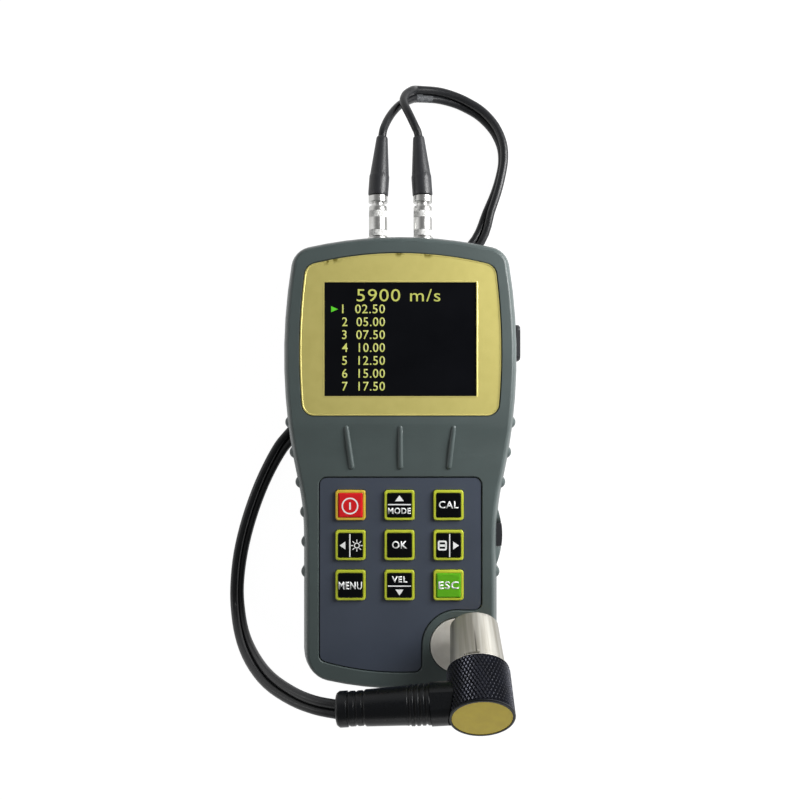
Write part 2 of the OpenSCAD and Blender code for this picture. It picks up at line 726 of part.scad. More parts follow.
front_housing();
rear_housing();
screen_bezel();
screen_window();
lcd_module();
keypad_film();
key_power();
key_up();
key_cal();
key_left();
key_ok();
key_right();
key_menu();
key_down();
key_back();
key_domes();
main_board();
board_screws();
battery_pack();
buzzer();
case_screws();
test_disc();
data_port();
data_port_cover();
charge_port();
charge_port_plug();
socket_left();
socket_right();
plug_core_left();
plug_core_right();
plug_sleeve_left();
plug_sleeve_right();
plug_nut_left();
plug_nut_right();
plug_boot_left();
plug_boot_right();
cable_left();
cable_right();
twin_cable();
probe_nose();
probe_grip();
probe_label();
probe_delay_left();
probe_delay_right();
probe_barrier();
probe_gland();
probe_boot();
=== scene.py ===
# %% [markdown]
# # An ultrasonic thickness gauge
# The gauge lies on its back and its probe stands on the test disc. The solids come from the CAD
# frame, so every piece below goes where the frame says. This lesson dresses them: it rounds and
# smooths what the hand would feel, models what the CAD leaves plain, such as the knurls and the key
# signs, and gives each piece the finish of its real material.

import json
import math

import bmesh
import bpy
from mathutils import Matrix, Vector

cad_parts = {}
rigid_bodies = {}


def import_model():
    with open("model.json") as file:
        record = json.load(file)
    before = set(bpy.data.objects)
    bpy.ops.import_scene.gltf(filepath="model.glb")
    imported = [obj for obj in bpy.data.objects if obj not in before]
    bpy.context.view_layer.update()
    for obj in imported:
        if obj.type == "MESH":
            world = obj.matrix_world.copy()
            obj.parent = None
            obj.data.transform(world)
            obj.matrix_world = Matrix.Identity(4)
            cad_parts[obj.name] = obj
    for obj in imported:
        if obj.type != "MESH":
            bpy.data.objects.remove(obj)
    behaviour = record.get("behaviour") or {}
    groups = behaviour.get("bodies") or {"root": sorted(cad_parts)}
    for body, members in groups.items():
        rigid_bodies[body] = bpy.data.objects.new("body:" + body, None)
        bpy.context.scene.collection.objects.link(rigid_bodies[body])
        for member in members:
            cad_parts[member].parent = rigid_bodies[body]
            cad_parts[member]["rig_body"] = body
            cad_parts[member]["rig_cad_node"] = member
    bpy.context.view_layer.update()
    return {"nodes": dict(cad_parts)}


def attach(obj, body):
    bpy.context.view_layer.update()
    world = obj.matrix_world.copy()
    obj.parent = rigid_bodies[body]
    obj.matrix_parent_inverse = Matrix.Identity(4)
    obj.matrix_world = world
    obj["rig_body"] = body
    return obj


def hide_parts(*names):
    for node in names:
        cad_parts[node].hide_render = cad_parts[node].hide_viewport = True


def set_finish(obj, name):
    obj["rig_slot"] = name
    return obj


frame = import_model()
nodes = frame["nodes"]
MM = 0.001
GAUGE = "gauge"

# %% [markdown]
# ## Camera, floor and light
# The photograph looks straight down from a short way above. The camera's place and lens were worked
# out from the plugs, the screen and the leaning probe, which all shift with their height. A pale
# floor keeps a faint shadow. It glows only to the camera and in reflections, and throws no extra light
# on matt surfaces, so white paper doesn't need strong lamps.

# %% The camera
CAMERA_AT = (-0.12, 20.6, 280.0)
LENS = 34.56
SENSOR = 36.0

camera_data = bpy.data.cameras.new("camera")
camera_data.lens = LENS
camera_data.sensor_width = SENSOR
camera_data.clip_start = 0.01
camera_data.clip_end = 20.0
camera = bpy.data.objects.new("camera", camera_data)
camera.location = [v * MM for v in CAMERA_AT]
bpy.context.scene.collection.objects.link(camera)
bpy.context.scene.camera = camera
bpy.context.scene.view_settings.view_transform = "Standard"
print("camera at", CAMERA_AT, "mm, lens", LENS)


# %% Small tools: colours, nodes and selection
def tint(code):
    """An sRGB hex value as the linear colour that a socket takes."""
    parts = [int(code[i:i + 2], 16) / 255 for i in (1, 3, 5)]
    return [p / 12.92 if p <= 0.04045 else ((p + 0.055) / 1.055) ** 2.4 for p in parts] + [1.0]


def add(tree, kind, settings=None, links=None):
    """Adds a node. A setting is one of its properties, or the value of an input by name or number."""
    node = tree.nodes.new(kind)
    for key, value in (settings or {}).items():
        if isinstance(key, str) and hasattr(node, key):
            setattr(node, key, value)
        else:
            node.inputs[key].default_value = value
    for key, output in (links or {}).items():
        tree.links.new(output, node.inputs[key])
    return node


def start_material(name):
    """A new material with its shader, its tree and the Object coordinates of its piece."""
    material = bpy.data.materials.new(name)
    material.use_nodes = True
    tree = material.node_tree
    shader = tree.nodes["Principled BSDF"]
    place = add(tree, "ShaderNodeTexCoord").outputs["Object"]
    return material, tree, shader, place


def activate(piece):
    """Selects one piece alone and makes it the active one."""
    bpy.ops.object.select_all(action="DESELECT")
    piece.hide_set(False)
    piece.select_set(True)
    bpy.context.view_layer.objects.active = piece


def link_new(name, data):
    """A new object round that data, put into the scene."""
    piece = bpy.data.objects.new(name, data)
    bpy.context.scene.collection.objects.link(piece)
    return piece


def join_all(pieces):
    """Joins the pieces into the first of them."""
    activate(pieces[0])
    for piece in pieces:
        piece.select_set(True)
    if len(pieces) > 1:
        bpy.ops.object.join()
    return bpy.context.view_layer.objects.active


def weigh_normals(piece):
    """Lets large faces count most in the shading of the active piece, so that flat faces stay flat."""
    weigh = piece.modifiers.new("weigh", "WEIGHTED_NORMAL")
    weigh.keep_sharp = True
    bpy.ops.object.modifier_apply(modifier=weigh.name)


def pick_faces(piece, test):
    """Selects, in edit mode, the faces whose centre and normal pass the test."""
    bpy.ops.mesh.select_all(action="DESELECT")
    shape = bmesh.from_edit_mesh(piece.data)
    for face in shape.faces:
        if test(face.calc_center_median(), face.normal):
            face.select_set(True)
    bmesh.update_edit_mesh(piece.data)


# %% The floor and the lamps
FLOOR_HALF = 900.0
FLOOR_DROP = 0.05
# what the camera sees of the floor: mostly an even glow, and the rest its real shading
FLOOR_GLOW = 1.15
GLOW_SHARE = 0.85
# light from the sky at the horizon and overhead
DOME_LOW = 0.05
DOME_HIGH = 0.15
# the backdrop behind the table is white up to BACKDROP_TOP, and fades into the ceiling above it
BACKDROP_TOP = 0.35
CEILING = 0.7
CEILING_LEVEL = 0.28


def backdrop_rays(tree):
    """One for a ray that shows the backdrop: to the camera, in a reflection or through glass."""
    ray = add(tree, "ShaderNodeLightPath").outputs
    two = add(tree, "ShaderNodeMath", None, {0: ray["Is Camera Ray"], 1: ray["Is Glossy Ray"]})
    three = add(tree, "ShaderNodeMath", {"use_clamp": True},
                {0: two.outputs[0], 1: ray["Is Transmission Ray"]})
    return three.outputs[0]


bpy.ops.object.select_all(action="DESELECT")
bpy.ops.mesh.primitive_plane_add(size=2 * FLOOR_HALF * MM, location=(0, 0, -FLOOR_DROP * MM))
floor = bpy.context.object
floor.name = "floor"
paper, tree, shader, place = start_material("white_paper")
shader.inputs["Base Color"].default_value = tint("#eeeeee")
shader.inputs["Roughness"].default_value = 0.9
glow = add(tree, "ShaderNodeEmission", {"Color": tint("#ffffff"), "Strength": FLOOR_GLOW})
seen = add(tree, "ShaderNodeMath", {"operation": "MULTIPLY", 1: GLOW_SHARE}, {0: backdrop_rays(tree)})
both = add(tree, "ShaderNodeMixShader", None,
           {0: seen.outputs[0], 1: shader.outputs[0], 2: glow.outputs[0]})
tree.links.new(both.outputs[0], tree.nodes["Material Output"].inputs["Surface"])
floor.data.materials.append(paper)

world = bpy.data.worlds.new("studio")
bpy.context.scene.world = world
world.use_nodes = True
tree = world.node_tree
sky = tree.nodes["Background"]
sky.inputs["Color"].default_value = tint("#ffffff")
heading = add(tree, "ShaderNodeTexCoord").outputs["Generated"]
parts = add(tree, "ShaderNodeSeparateXYZ", None, {0: heading})
dome = add(tree, "ShaderNodeMapRange", {1: 0.0, 2: 0.9, 3: DOME_LOW, 4: DOME_HIGH},
           {0: parts.outputs["Z"]})
white = add(tree, "ShaderNodeMapRange", {1: BACKDROP_TOP, 2: CEILING, 3: 1.0, 4: CEILING_LEVEL},
            {0: parts.outputs["Z"]})
level = add(tree, "ShaderNodeMapRange", None,
            {0: backdrop_rays(tree), 3: dome.outputs[0], 4: white.outputs[0]})
tree.links.new(level.outputs[0], sky.inputs["Strength"])

# name, place and size in millimetres, watts: a near key at the upper right, which makes that side the
# lighter one, a weak fill on the left, long strips low on both sides that draw the lines along the
# housing's edges, and a weak lamp at the foot for the probe's end plate
LAMPS = [
    ("key", (205, 120, 150), (150, 150), 1.24),
    ("fill", (-520, 60, 520), (420, 420), 0.2),
    ("edge", (560, -40, 170), (60, 500), 0.12),
    ("rim", (-560, 80, 170), (60, 500), 0.4),
    ("foot", (60, -560, 300), (300, 120), 0.18),
]
LAMP_AIM = (0, 0, 20)
for name, at, size, watts in LAMPS:
    lamp = bpy.data.lights.new(name, "AREA")
    lamp.shape = "RECTANGLE"
    lamp.size = size[0] * MM
    lamp.size_y = size[1] * MM
    lamp.energy = watts
    holder = bpy.data.objects.new(name, lamp)
    holder.location = [v * MM for v in at]
    aim = Vector(LAMP_AIM) * MM - holder.location
    holder.rotation_euler = aim.to_track_quat("-Z", "Y").to_euler()
    bpy.context.scene.collection.objects.link(holder)
print("lamps:", [row[0] for row in LAMPS])

# %% [markdown]
# ## Finishes
# Each finish starts from the real material and how its surface was made. Moulded plastics share one
# recipe: a fine spark-eroded grain in the relief, and a broad, faint change of shade.


# %% Moulded and rubber finishes
def moulded(name, colour, shade, roughness, grain, relief, patch=14.0):
    """A moulded plastic or rubber. The grain and the patches of shade are sizes in millimetres."""
    material, tree, shader, place = start_material(name)
    broad = add(tree, "ShaderNodeTexNoise", {"Scale": 1 / (patch * MM), "Detail": 3.0}, {"Vector": place})
    spread = add(tree, "ShaderNodeMapRange", {1: 0.3, 2: 0.7}, {0: broad.outputs["Fac"]})
    mixed = add(tree, "ShaderNodeMix", {"data_type": "RGBA", 6: tint(colour), 7: tint(shade)},
                {0: spread.outputs[0]})
    fine = add(tree, "ShaderNodeTexNoise", {"Scale": 1 / (grain * MM), "Detail": 2.0}, {"Vector": place})
    gloss = add(tree, "ShaderNodeMapRange", {1: 0.3, 2: 0.7, 3: roughness - 0.06, 4: roughness + 0.06},
                {0: fine.outputs["Fac"]})
    bump = add(tree, "ShaderNodeBump", {"Strength": relief, "Distance": 0.06 * MM},
               {"Height": fine.outputs["Fac"]})
    tree.links.new(mixed.outputs[2], shader.inputs["Base Color"])
    tree.links.new(gloss.outputs[0], shader.inputs["Roughness"])
    tree.links.new(bump.outputs[0], shader.inputs["Normal"])
    return material


# ABS with a soft-touch coat: mid grey with a green cast, a wide dull sheen
shell_grey = moulded("grey_soft_touch_abs", "#475251", "#424c4b", 0.46, 0.45, 0.16)
# Polycarbonate overlay, screen-printed from behind: slate blue with a satin front
film_slate = moulded("slate_polycarbonate_film", "#414855", "#3d4450", 0.38, 0.3, 0.06)
# Silicone rubber: nearly black with a dull sheen
rubber_black = moulded("black_moulded_rubber", "#222327", "#1d1e21", 0.42, 0.5, 0.12)
# Flexible PVC over the strands: black with a satin sheen
cable_pvc = moulded("black_cable_pvc", "#1b1c1f", "#151618", 0.36, 0.6, 0.1, 8.0)
cable_pvc.node_tree.nodes["Principled BSDF"].inputs["Specular IOR Level"].default_value = 0.34
# The same PVC where it was slit: paler and crumbly
slit_pvc = moulded("slit_cable_pvc", "#606265", "#2c2e31", 0.7, 0.25, 0.9, 0.5)
# Nylon overmould of the probe lead: black, a little glossier than the rubber
overmould_black = moulded("black_nylon_overmould", "#030508", "#06080b", 0.32, 0.5, 0.06, 9.0)
overmould_black.node_tree.nodes["Principled BSDF"].inputs["Specular IOR Level"].default_value = 0.24
# Key frame: tinted silicone, lime
key_lime = moulded("lime_silicone", "#c2cb38", "#b6bf30", 0.4, 0.3, 0.05, 5.0)
# The same silicone with more yellow, under the red key
key_amber = moulded("amber_silicone", "#dcba3c", "#d0ae34", 0.4, 0.3, 0.05, 5.0)
# Inner pieces that nobody sees with the case closed
board_green = moulded("green_circuit_board", "#17532f", "#12472a", 0.45, 0.8, 0.1)
cell_blue = moulded("blue_heat_shrink", "#274b86", "#20407a", 0.4, 0.6, 0.05)
delay_amber = moulded("amber_polyimide", "#b79a54", "#a98c48", 0.35, 0.4, 0.05)
barrier_cork = moulded("brown_cork_sheet", "#855a36", "#6f4a2c", 0.8, 0.5, 0.4, 2.0)


# %% Epoxy-topped key fields
def domed(name, colour, shade):
    """A printed field under clear epoxy: deep colour below a sharp gloss, with faint orange peel."""
    material, tree, shader, place = start_material(name)
    wave = add(tree, "ShaderNodeTexNoise", {"Scale": 1 / (2.2 * MM), "Detail": 1.0}, {"Vector": place})
    mixed = add(tree, "ShaderNodeMix", {"data_type": "RGBA", 6: tint(colour), 7: tint(shade)},
                {0: wave.outputs["Fac"]})
    bump = add(tree, "ShaderNodeBump", {"Strength": 0.12, "Distance": 0.05 * MM},
               {"Height": wave.outputs["Fac"]})
    tree.links.new(mixed.outputs[2], shader.inputs["Base Color"])
    tree.links.new(bump.outputs[0], shader.inputs["Normal"])
    shader.inputs["Roughness"].default_value = 0.14
    shader.inputs["Specular IOR Level"].default_value = 0.1
    return material


field_black = domed("black_epoxy_key", "#050608", "#08090b")
field_red = domed("red_epoxy_key", "#dc2529", "#cf2125")
field_green = domed("green_epoxy_key", "#63b124", "#59a620")
print("materials so far:", len(bpy.data.materials))


# %% Metals
def metal(name, colour, shade, roughness, grain, relief, along=None, metallic=1.0):
    """A worked metal. along stretches the tool marks by that factor per axis of the piece's frame."""
    material, tree, shader, place = start_material(name)
    stretched = add(tree, "ShaderNodeMapping", {"Scale": along or (1, 1, 1)}, {"Vector": place})
    marks = add(tree, "ShaderNodeTexNoise", {"Scale": 1 / (grain * MM), "Detail": 3.0},
                {"Vector": stretched.outputs[0]})
    stain = add(tree, "ShaderNodeTexNoise", {"Scale": 1 / (3.5 * MM), "Detail": 3.0}, {"Vector": place})
    spread = add(tree, "ShaderNodeMapRange", {1: 0.35, 2: 0.7}, {0: stain.outputs["Fac"]})
    mixed = add(tree, "ShaderNodeMix", {"data_type": "RGBA", 6: tint(colour), 7: tint(shade)},
                {0: spread.outputs[0]})
    gloss = add(tree, "ShaderNodeMapRange", {1: 0.3, 2: 0.7, 3: roughness - 0.05, 4: roughness + 0.07},
                {0: marks.outputs["Fac"]})
    bump = add(tree, "ShaderNodeBump", {"Strength": relief, "Distance": 0.04 * MM},
               {"Height": marks.outputs["Fac"]})
    tree.links.new(mixed.outputs[2], shader.inputs["Base Color"])
    tree.links.new(gloss.outputs[0], shader.inputs["Roughness"])
    tree.links.new(bump.outputs[0], shader.inputs["Normal"])
    shader.inputs["Metallic"].default_value = metallic
    return material


# Stainless steel, turned: the bright chamfer of the grip
steel_turned = metal("turned_stainless_steel", "#cfcdc6", "#bdbab1", 0.3, 0.25, 0.12)
# Stainless steel, ground flat: the test disc
steel_ground = metal("ground_stainless_steel", "#f0ede5", "#e3dfd6", 0.42, 0.3, 0.12, (1, 4, 1), 0.6)
# Nickel-plated brass: the plugs
nickel = metal("nickel_plated_brass", "#c4c4c2", "#bfbfbc", 0.28, 0.1, 0.0)
# The same plating over the fine knurl, which scatters the light
nickel_matt = metal("nickel_plated_knurl", "#cfcfcd", "#c8c8c5", 0.55, 0.1, 0.0, None, 0.5)
# Aluminium, bead-blasted and anodised gold: the bezel
gold_anodised = metal("gold_anodised_aluminium", "#c9be70", "#c4b96b", 0.42, 0.28, 0.12, None, 0.35)
# Painted shade: the bezel is darkened in three ragged patches along its arched top edge, where the
# housing's rim shades it
ARCH_TOP = 68.0
ARCH_FALL = 0.0045
# the middle and the reach of each patch of painted shade along the edge
PAINTED_SHADE_PATCHES = ((-22.5, 4.0), (-0.2, 1.8), (8.5, 2.2))
tree = gold_anodised.node_tree
shader = tree.nodes["Principled BSDF"]
plain = shader.inputs["Base Color"].links[0].from_socket
place = add(tree, "ShaderNodeTexCoord").outputs["Object"]
part = add(tree, "ShaderNodeSeparateXYZ", None, {0: place})
square = add(tree, "ShaderNodeMath", {"operation": "MULTIPLY"},
             {0: part.outputs["X"], 1: part.outputs["X"]})
level = add(tree, "ShaderNodeMath", {"operation": "MULTIPLY_ADD", 1: ARCH_FALL / MM},
            {0: square.outputs[0], 2: part.outputs["Y"]})
edge = add(tree, "ShaderNodeMapRange", {1: (ARCH_TOP - 1.6) * MM, 2: (ARCH_TOP - 0.4) * MM},
           {0: level.outputs[0]})
blot = add(tree, "ShaderNodeTexNoise", {"Scale": 1 / (1.6 * MM), "Detail": 4.0}, {"Vector": place})
ragged = add(tree, "ShaderNodeMapRange", {1: 0.42, 2: 0.55}, {0: blot.outputs["Fac"]})
painted_shade_edge = add(tree, "ShaderNodeMath", {"operation": "MULTIPLY"},
              {0: edge.outputs[0], 1: ragged.outputs[0]})
# each patch mixes the gold towards a dark olive near the top edge: painted shade
for x, reach in PAINTED_SHADE_PATCHES:
    off = add(tree, "ShaderNodeMath", {"operation": "SUBTRACT", 1: x * MM}, {0: part.outputs["X"]})
    far = add(tree, "ShaderNodeMath", {"operation": "ABSOLUTE"}, {0: off.outputs[0]})
    near = add(tree, "ShaderNodeMapRange", {1: reach * MM, 2: 0.4 * reach * MM}, {0: far.outputs[0]})
    share = add(tree, "ShaderNodeMath", {"operation": "MULTIPLY"},
                {0: near.outputs[0], 1: painted_shade_edge.outputs[0]})
    painted_shade_mix = add(tree, "ShaderNodeMix", {"data_type": "RGBA", 7: tint("#746a24")},
               {0: share.outputs[0], 6: plain})
    plain = painted_shade_mix.outputs[2]
tree.links.new(plain, shader.inputs["Base Color"])
# Brass plate with a yellow lacquer: the probe's end plate
label_brass = metal("lacquered_brass", "#fae046", "#f2d640", 0.45, 0.3, 0.08, None, 0.1)
# Aluminium, knurled and anodised black: the grip
knurl_black = metal("black_anodised_aluminium", "#1e202a", "#181920", 0.34, 0.3, 0.05, None, 0.55)
tin_grey = metal("tinned_steel", "#b9b9b4", "#adada8", 0.35, 0.4, 0.05)

# Stainless steel, turned: the nose. Its colour has painted streaks of sheen along its leaning axis, in
# place of the lengthwise reflections of its turning marks
PROBE_LEAN = 38.0
steel_nose, tree, shader, place = start_material("stainless_steel_painted_sheen")
upright = add(tree, "ShaderNodeMapping",
              {"vector_type": "TEXTURE", "Rotation": (math.radians(PROBE_LEAN), 0, 0), "Scale": (1, 1, 30)},
              {"Vector": place})
# painted sheen: lighter and darker grey bands, stretched along the probe's axis
painted_sheen_streak = add(tree, "ShaderNodeTexNoise", {"Scale": 1 / (1.9 * MM), "Detail": 2.0},
             {"Vector": upright.outputs[0]})
spread = add(tree, "ShaderNodeMapRange", {1: 0.38, 2: 0.62}, {0: painted_sheen_streak.outputs["Fac"]})
mixed = add(tree, "ShaderNodeMix", {"data_type": "RGBA", 6: tint("#aba9a2"), 7: tint("#928f86")},
            {0: spread.outputs[0]})
frost = add(tree, "ShaderNodeTexNoise", {"Scale": 1 / (0.22 * MM), "Detail": 2.0}, {"Vector": place})
bump = add(tree, "ShaderNodeBump", {"Strength": 0.12, "Distance": 0.04 * MM},
           {"Height": frost.outputs["Fac"]})
tree.links.new(mixed.outputs[2], shader.inputs["Base Color"])
tree.links.new(bump.outputs[0], shader.inputs["Normal"])
shader.inputs["Metallic"].default_value = 0.95
shader.inputs["Roughness"].default_value = 0.52
print("materials so far:", len(bpy.data.materials))

# %% [markdown]
# ## The lead
# The probe has two elements, one that sends and one that listens, so its lead is a flat pair of
# coaxial strands. It leaves the moulded strain relief, comes down to the table in one stiff arch,
# passes under the raised back and splits into two branches, each with its own plug. The routes are
# the CAD's own points, in millimetres, joined by the same smooth curve; each branch goes 3 mm further,
# into its boot, and the pair a little further to where its strands part. The fourth number is the
# pair's roll in degrees. It follows the photograph, where the outer strand rides on top; on the left
# loop the CAD's flat tube rolls the other way round the same line.

# %% Routes
STRAND = 2.8
TWIN_ROUTE = [
    (-18.77, -70.29, 54.35, 0), (-25.4, -70.1, 51.7, 0), (-33, -69.8, 45.5, -10), (-41.8, -68.6, 35.5, -28),
    (-49.1, -66, 24, -46), (-54.8, -61.4, 13, -56), (-57.9, -54.5, 5.9, -54), (-58.8, -46, 3.2, -54),
    (-57.6, -34.5, 2.8, -46), (-54.6, -22.2, 2.7, -42), (-50, -9.5, 2.5, -38), (-44.4, 1.6, 2.1, -26),
    (-39.6, 7.9, 1.75, -8), (-27, 21.5, 1.6, 0), (-12, 37, 1.6, 0), (4, 53, 1.6, 0), (18, 66.5, 1.6, 0),
    (28.2, 78.4, 2, 22), (31.9, 88.4, 2.6, 55), (34.5, 95.3, 2.85, 70), (36.3, 101.9, 2.9, 78),
    (37.1, 107.4, 2.9, 80), (36.5, 112.9, 2.9, 76), (33.8, 118.7, 2.8, 66), (29.1, 123.8, 2.75, 58),
    (23.6, 127.1, 2.9, 52), (18.8, 128.9, 3.4, 45), (13.2, 129.9, 4.4, 36), (6.6, 129.65, 6.13, 30),
    (4.9, 129.35, 6.5, 30),
]
LEFT_ROUTE = [
    (7.3, 128.45, 5.25), (5.4, 128.36, 5.75), (2.6, 126.1, 9.2), (-0.17, 123.3, 12.6), (-2.41, 120.1, 15.1),
    (-4.24, 116.6, 17.2), (-5.48, 113.4, 18.7), (-5.905, 111.651, 19.3), (-6.155, 109.851, 19.5),
    (-6.364, 106.858, 19.5),
]
RIGHT_ROUTE = [
    (7.3, 130.91, 6.67), (5.4, 130.82, 7.17), (4.1, 129.1, 10.9), (1.94, 126.7, 13.4), (1.1, 123.6, 15.9),
    (1.77, 120.6, 17.9), (2.85, 117.9, 19.2), (4.1, 115.1, 19.8), (5.12, 112.9, 19.8),
    (5.755, 111.651, 19.62), (6.155, 109.851, 19.5), (6.364, 106.858, 19.5),
]


def smooth_route(route, steps):
    """A Catmull-Rom curve through the route's points, in millimetres, with any roll in degrees."""
    points = []
    rows = [Vector(p) for p in route]
    for i in range(len(rows) - 1):
        a, b = rows[max(i - 1, 0)], rows[i]
        c, d = rows[i + 1], rows[min(i + 2, len(rows) - 1)]
        for k in range(steps):
            t = k / steps
            points.append(0.5 * (2 * b + (c - a) * t + (2 * a - 5 * b + 4 * c - d) * t ** 2
                                 + (3 * b - a - 3 * c + d) * t ** 3))
    points.append(rows[-1])
    return points


def route_length(points):
    """The length in metres of a route whose points are in millimetres."""
    return sum((Vector(q[:3]) - Vector(p[:3])).length for p, q in zip(points, points[1:])) * MM


# %% The two branches
def branch(name, route):
    """One round strand as a curve, from the joint with the pair to its plug."""
    points = smooth_route(route, 4)
    curve = bpy.data.curves.new(name, "CURVE")
    curve.dimensions = "3D"
    curve.bevel_depth = STRAND / 2 * MM
    curve.bevel_resolution = 6
    curve.use_fill_caps = True
    line = curve.splines.new("POLY")
    line.points.add(len(points) - 1)
    for knot, p in zip(line.points, points):
        knot.co = (p[0] * MM, p[1] * MM, p[2] * MM, 1.0)
    line.use_smooth = True
    piece = link_new(name, curve)
    curve.materials.append(cable_pvc)
    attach(piece, GAUGE)
    return piece, points


left_branch, left_points = branch("left_branch", LEFT_ROUTE)
right_branch, right_points = branch("right_branch", RIGHT_ROUTE)
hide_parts("cable_left")
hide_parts("cable_right")
print("branches", round(route_length(left_points), 4), round(route_length(right_points), 4), "m")

# %% [markdown]
# The pair is a figure of eight in section: two round strands whose sheaths run into each other. A
# curve's bevel can only be round, so this section is swept along the route by hand, and it rolls
# with the pair where the pair turns onto its edge.

# %% The pair
SECTION_POINTS = 14
STRAND_OFFSET = 1.39
# the angle left open on each strand along the seam, and the part of the lower strand that was slit
SEAM_TURN = 0.02
SLIT_X = (5.2, 11.8)
SLIT_Y = (127, 129.4)


def pair_section():
    """The outline of the two strands, once round, as offsets across and up."""
    outline = []
    gap = math.acos(STRAND_OFFSET / (STRAND / 2)) + SEAM_TURN
    for side in (1, -1):
        for i in range(SECTION_POINTS):
            turn = math.pi - gap - (2 * math.pi - 2 * gap) * i / (SECTION_POINTS - 1)
            x = STRAND_OFFSET + STRAND / 2 * math.cos(turn)
            outline.append((side * x, side * STRAND / 2 * math.sin(turn)))
    return outline


pair_points = smooth_route(TWIN_ROUTE, 4)
section = pair_section()
shape = bmesh.new()
rings = []
for i, p in enumerate(pair_points):
    ahead = pair_points[min(i + 1, len(pair_points) - 1)]
    behind = pair_points[max(i - 1, 0)]
    along = (Vector(behind[:3]) - Vector(ahead[:3])).normalized()
    across = Vector((0, 0, 1)).cross(along).normalized()
    up = along.cross(across)
    roll = math.radians(p[3])
    s = across * math.cos(roll) + up * math.sin(roll)
    u = up * math.cos(roll) - across * math.sin(roll)
    rings.append([shape.verts.new((Vector(p[:3]) + s * x + u * y) * MM) for x, y in section])
for ring, after in zip(rings, rings[1:]):
    for j in range(len(section)):
        k = (j + 1) % len(section)
        shape.faces.new((ring[j], ring[k], after[k], after[j]))
shape.faces.new(rings[0])
shape.faces.new(list(reversed(rings[-1])))
bmesh.ops.recalc_face_normals(shape, faces=shape.faces)
mesh = bpy.data.meshes.new("twin_lead")
shape.to_mesh(mesh)
shape.free()
twin_lead = link_new("twin_lead", mesh)
activate(twin_lead)
bpy.ops.object.shade_smooth_by_angle(angle=math.radians(50))
twin_lead.data.materials.append(cable_pvc)
# where the sheath was slit to part the strands, the lower one is rough for a few millimetres
twin_lead.data.materials.append(slit_pvc)
for face in twin_lead.data.polygons:
    x, y, z = face.center / MM
    if SLIT_X[0] < x < SLIT_X[1] and SLIT_Y[0] < y < SLIT_Y[1]:
        face.material_index = 1
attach(twin_lead, GAUGE)
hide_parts("twin_cable")
print("pair", round(route_length(pair_points), 4), "m,", len(twin_lead.data.polygons), "faces")

# %% [markdown]
# ## Housing, bezel and film
# The two shells, the bezel and the film keep the shape that the CAD gave them. A CAD mesh is loose
# triangles, so a copy of it is joined up first. Flat areas are dissolved into single faces, sharp
# rims get a small rounded edge where the real moulding has one, and the shading is smoothed by angle
# with the large faces counted most, so that flat faces stay flat.


# %% A joined and smoothed copy of a CAD solid
def ease_rim(piece, level, low, high, width):
    """Rounds the sharp edges that lie at one height inside a box in plan, all in millimetres."""
    bpy.ops.mesh.select_all(action="DESELECT")
    shape = bmesh.from_edit_mesh(piece.data)
    for edge in shape.edges:
        ends = [v.co / MM for v in edge.verts]
        flat = all(abs(e.z - level) < 0.03 for e in ends)
        inside = all(low[0] < e.x < high[0] and low[1] < e.y < high[1] for e in ends)
        if flat and inside and edge.calc_face_angle(0.0) > math.radians(40):
            edge.select_set(True)
    bmesh.update_edit_mesh(piece.data)
    print("rim edges", sum(edge.select for edge in shape.edges))
    bpy.ops.mesh.bevel(offset=width * MM, segments=3, affect="EDGES")


def smooth_shell(node, finish, angle=32.0, edge=0.0, rim=None, body=GAUGE):
    """A joined copy of a CAD node, with all its edges or one rim eased by so many millimetres."""
    piece = link_new(node + "_skin", nodes[node].data.copy())
    piece.data.materials.clear()
    piece.data.materials.append(finish)
    activate(piece)
    bpy.ops.object.mode_set(mode="EDIT")
    bpy.ops.mesh.select_all(action="SELECT")
    bpy.ops.mesh.remove_doubles(threshold=0.002 * MM)
    bpy.ops.mesh.dissolve_limited(angle_limit=math.radians(0.4))
    if rim:
        ease_rim(piece, *rim)
    bpy.ops.object.mode_set(mode="OBJECT")
    if edge:
        ease = piece.modifiers.new("ease", "BEVEL")
        ease.width = edge * MM
        ease.segments = 2
        ease.limit_method = "ANGLE"
        ease.angle_limit = math.radians(40)
        ease.miter_outer = "MITER_ARC"
        bpy.ops.object.modifier_apply(modifier=ease.name)
    bpy.ops.object.shade_smooth_by_angle(angle=math.radians(angle))
    weigh_normals(piece)
    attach(piece, body)
    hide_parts(node)
    return piece


# the rim round the film's recess: its height, the corners of a box round it and its radius
FILM_RIM = (32.1, (-27.0, -68.5), (27.0, -3.5), 0.3)
front_skin = smooth_shell("front_housing", shell_grey, rim=FILM_RIM)
rear_skin = smooth_shell("rear_housing", shell_grey)
bezel_skin = smooth_shell("screen_bezel", gold_anodised)
smooth_shell("keypad_film", film_slate, edge=0.1)
print("shell faces", len(front_skin.data.polygons), len(rear_skin.data.polygons))

# %% The bezel's lip
# The plate is pressed: a narrow lip stands round it, and its inner slope catches the light
LIP = 0.3
LIP_SLOPE = 0.22
LIP_DROP = 0.12
activate(bezel_skin)
bpy.ops.object.mode_set(mode="EDIT")
pick_faces(bezel_skin, lambda centre, normal: normal.z > 0.9)
bpy.ops.mesh.inset(thickness=LIP * MM)
bpy.ops.mesh.inset(thickness=LIP_SLOPE * MM, depth=-LIP_DROP * MM)
bpy.ops.object.mode_set(mode="OBJECT")
bpy.ops.object.shade_smooth_by_angle(angle=math.radians(20))
print("bezel faces", len(bezel_skin.data.polygons))

